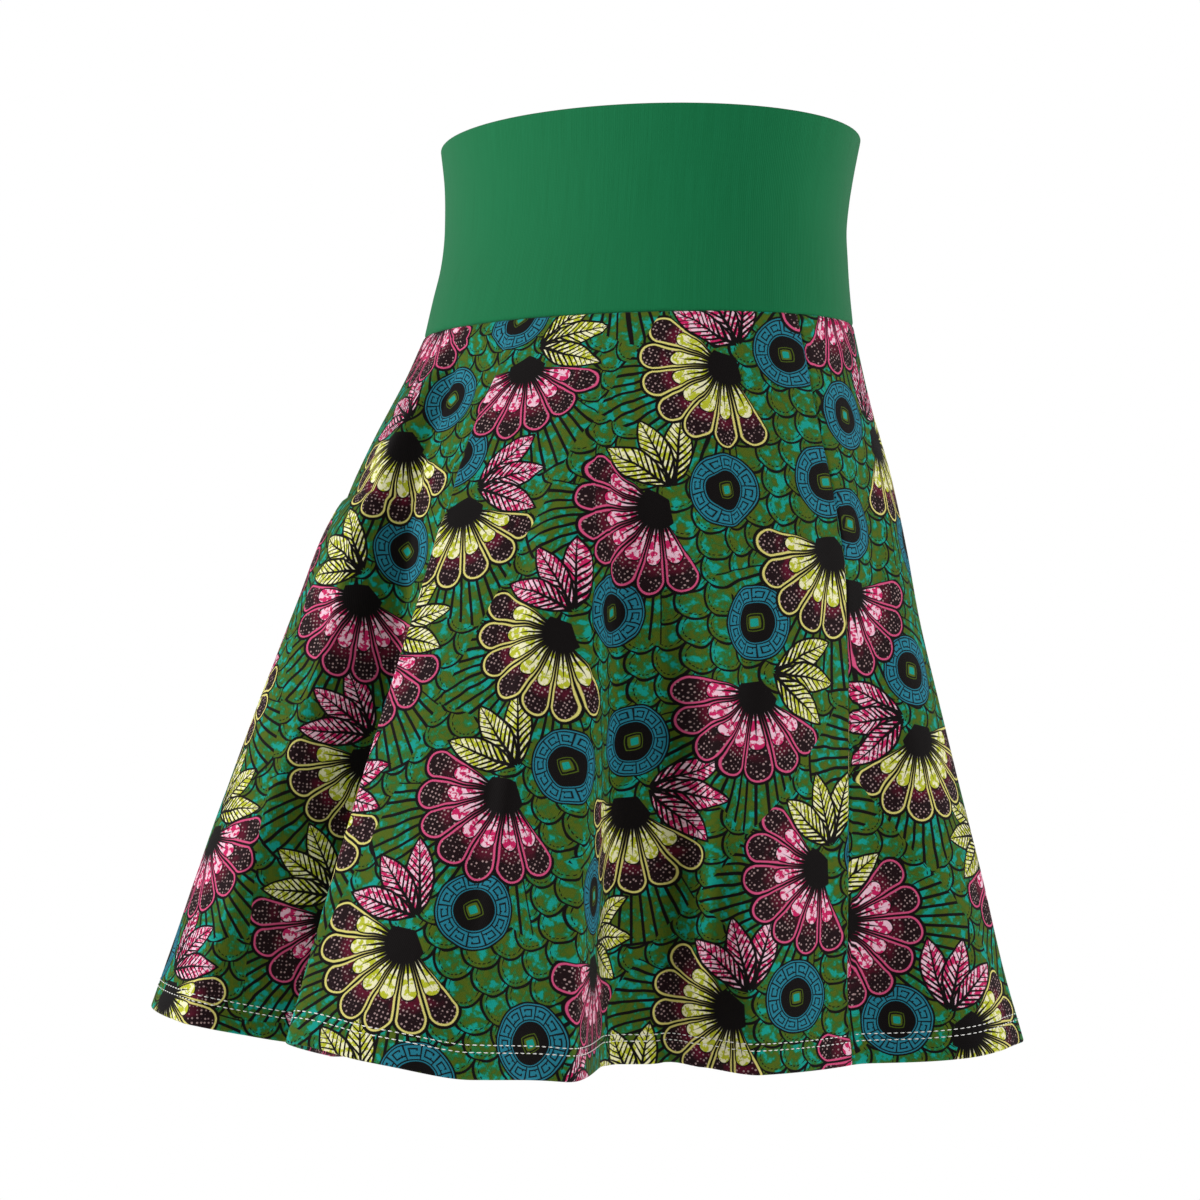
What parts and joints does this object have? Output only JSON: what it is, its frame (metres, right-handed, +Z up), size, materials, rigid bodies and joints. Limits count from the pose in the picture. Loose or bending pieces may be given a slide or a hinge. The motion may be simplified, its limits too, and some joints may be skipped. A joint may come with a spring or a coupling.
{
  "type": "circle skirt",
  "caption": "Short flared knit skirt with a wide plain waistband, hanging in uneven soft folds as if worn, open at the waist and the hem.",
  "frame": {"origin": "centre of the narrowest ring of the waist, where the wearer holds the skirt up", "axes": "+Z up out of the waist, +Y to the back of the wearer, +X to the left of the wearer"},
  "size_m": [0.4104, 0.4698, 0.48],
  "materials": {
    "waistband_knit": "plain green stretch knit, matt with a faint sheen",
    "skirt_back_print": "matt stretch knit with a dark green, yellow and pink floral print",
    "skirt_front_print": "matt stretch knit with a dark green, yellow and pink floral print"
  },
  "bodies": {
    "root": {"waistband": "waistband_knit", "skirt_back": "skirt_back_print", "skirt_front": "skirt_front_print"}
  },
  "joints": []
}
